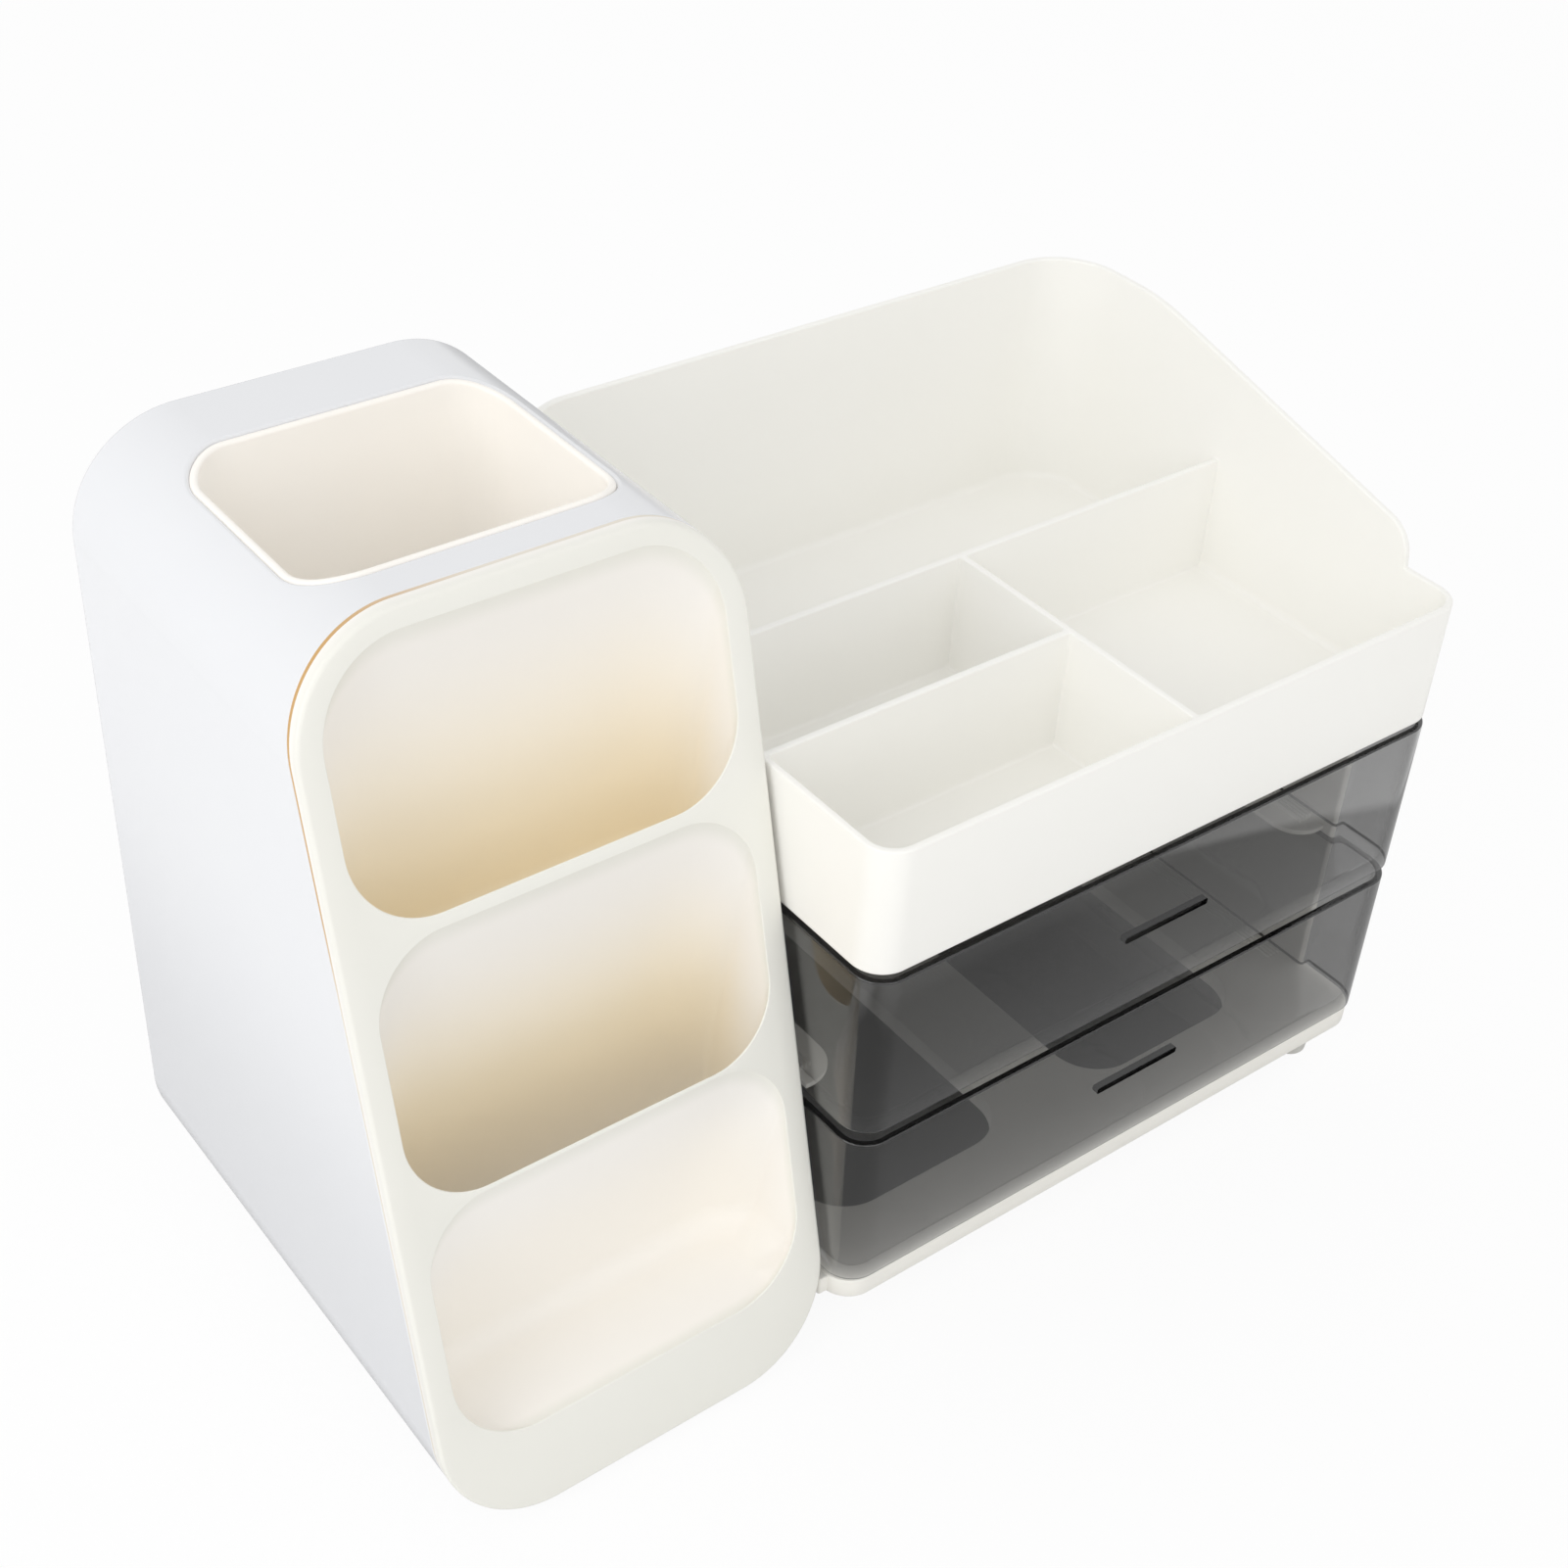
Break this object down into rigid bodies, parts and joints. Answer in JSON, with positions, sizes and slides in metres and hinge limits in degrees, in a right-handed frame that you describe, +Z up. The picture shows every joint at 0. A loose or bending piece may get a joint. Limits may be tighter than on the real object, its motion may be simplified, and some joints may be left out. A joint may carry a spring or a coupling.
{
  "type": "makeup organizer",
  "caption": "Desktop makeup organizer: smoke drawers under a divided open tray, beside a leaning-front holder tower with stacked slanted pockets and a cup in its top.",
  "frame": {"origin": "middle of the whole footprint, on the ground under the feet and the tower's pads", "axes": "+X along the drawer fronts towards the drawer unit, away from the tower; +Y to the back, so the drawers open towards -Y; +Z up"},
  "size_m": [0.315, 0.1634, 0.2306],
  "materials": {
    "warm_white": "satin warm white moulded plastic",
    "cool_white": "glossy cool white moulded plastic",
    "ivory": "satin ivory moulded plastic",
    "casing_white": "satin off-white moulded plastic",
    "smoke": "clear smoke grey plastic, polished",
    "grip_rubber": "pale grey soft rubber"
  },
  "bodies": {
    "casing": {"base_plate": "casing_white", "side_panel_left": "casing_white", "side_panel_right": "casing_white", "back_panel": "casing_white", "runner_ledge_left": "casing_white", "runner_ledge_right": "casing_white", "top_tray": "warm_white", "unit_foot_front_left": "grip_rubber", "unit_foot_front_right": "grip_rubber", "unit_foot_back_left": "grip_rubber", "unit_foot_back_right": "grip_rubber", "tower_sleeve": "cool_white", "tower_front_insert": "warm_white", "tower_rear_cup": "ivory", "tower_pad_front_left": "grip_rubber", "tower_pad_front_right": "grip_rubber", "tower_pad_back_left": "grip_rubber", "tower_pad_back_right": "grip_rubber"},
    "lower_drawer": {"lower_drawer": "smoke"},
    "upper_drawer": {"upper_drawer": "smoke"}
  },
  "joints": [
    {"name": "lower_drawer_slide", "type": "slide", "parent": "casing", "child": "lower_drawer", "axis": [0, -1, 0], "range_m": [0, 0.125]},
    {"name": "upper_drawer_slide", "type": "slide", "parent": "casing", "child": "upper_drawer", "axis": [0, -1, 0], "range_m": [0, 0.125]}
  ]
}
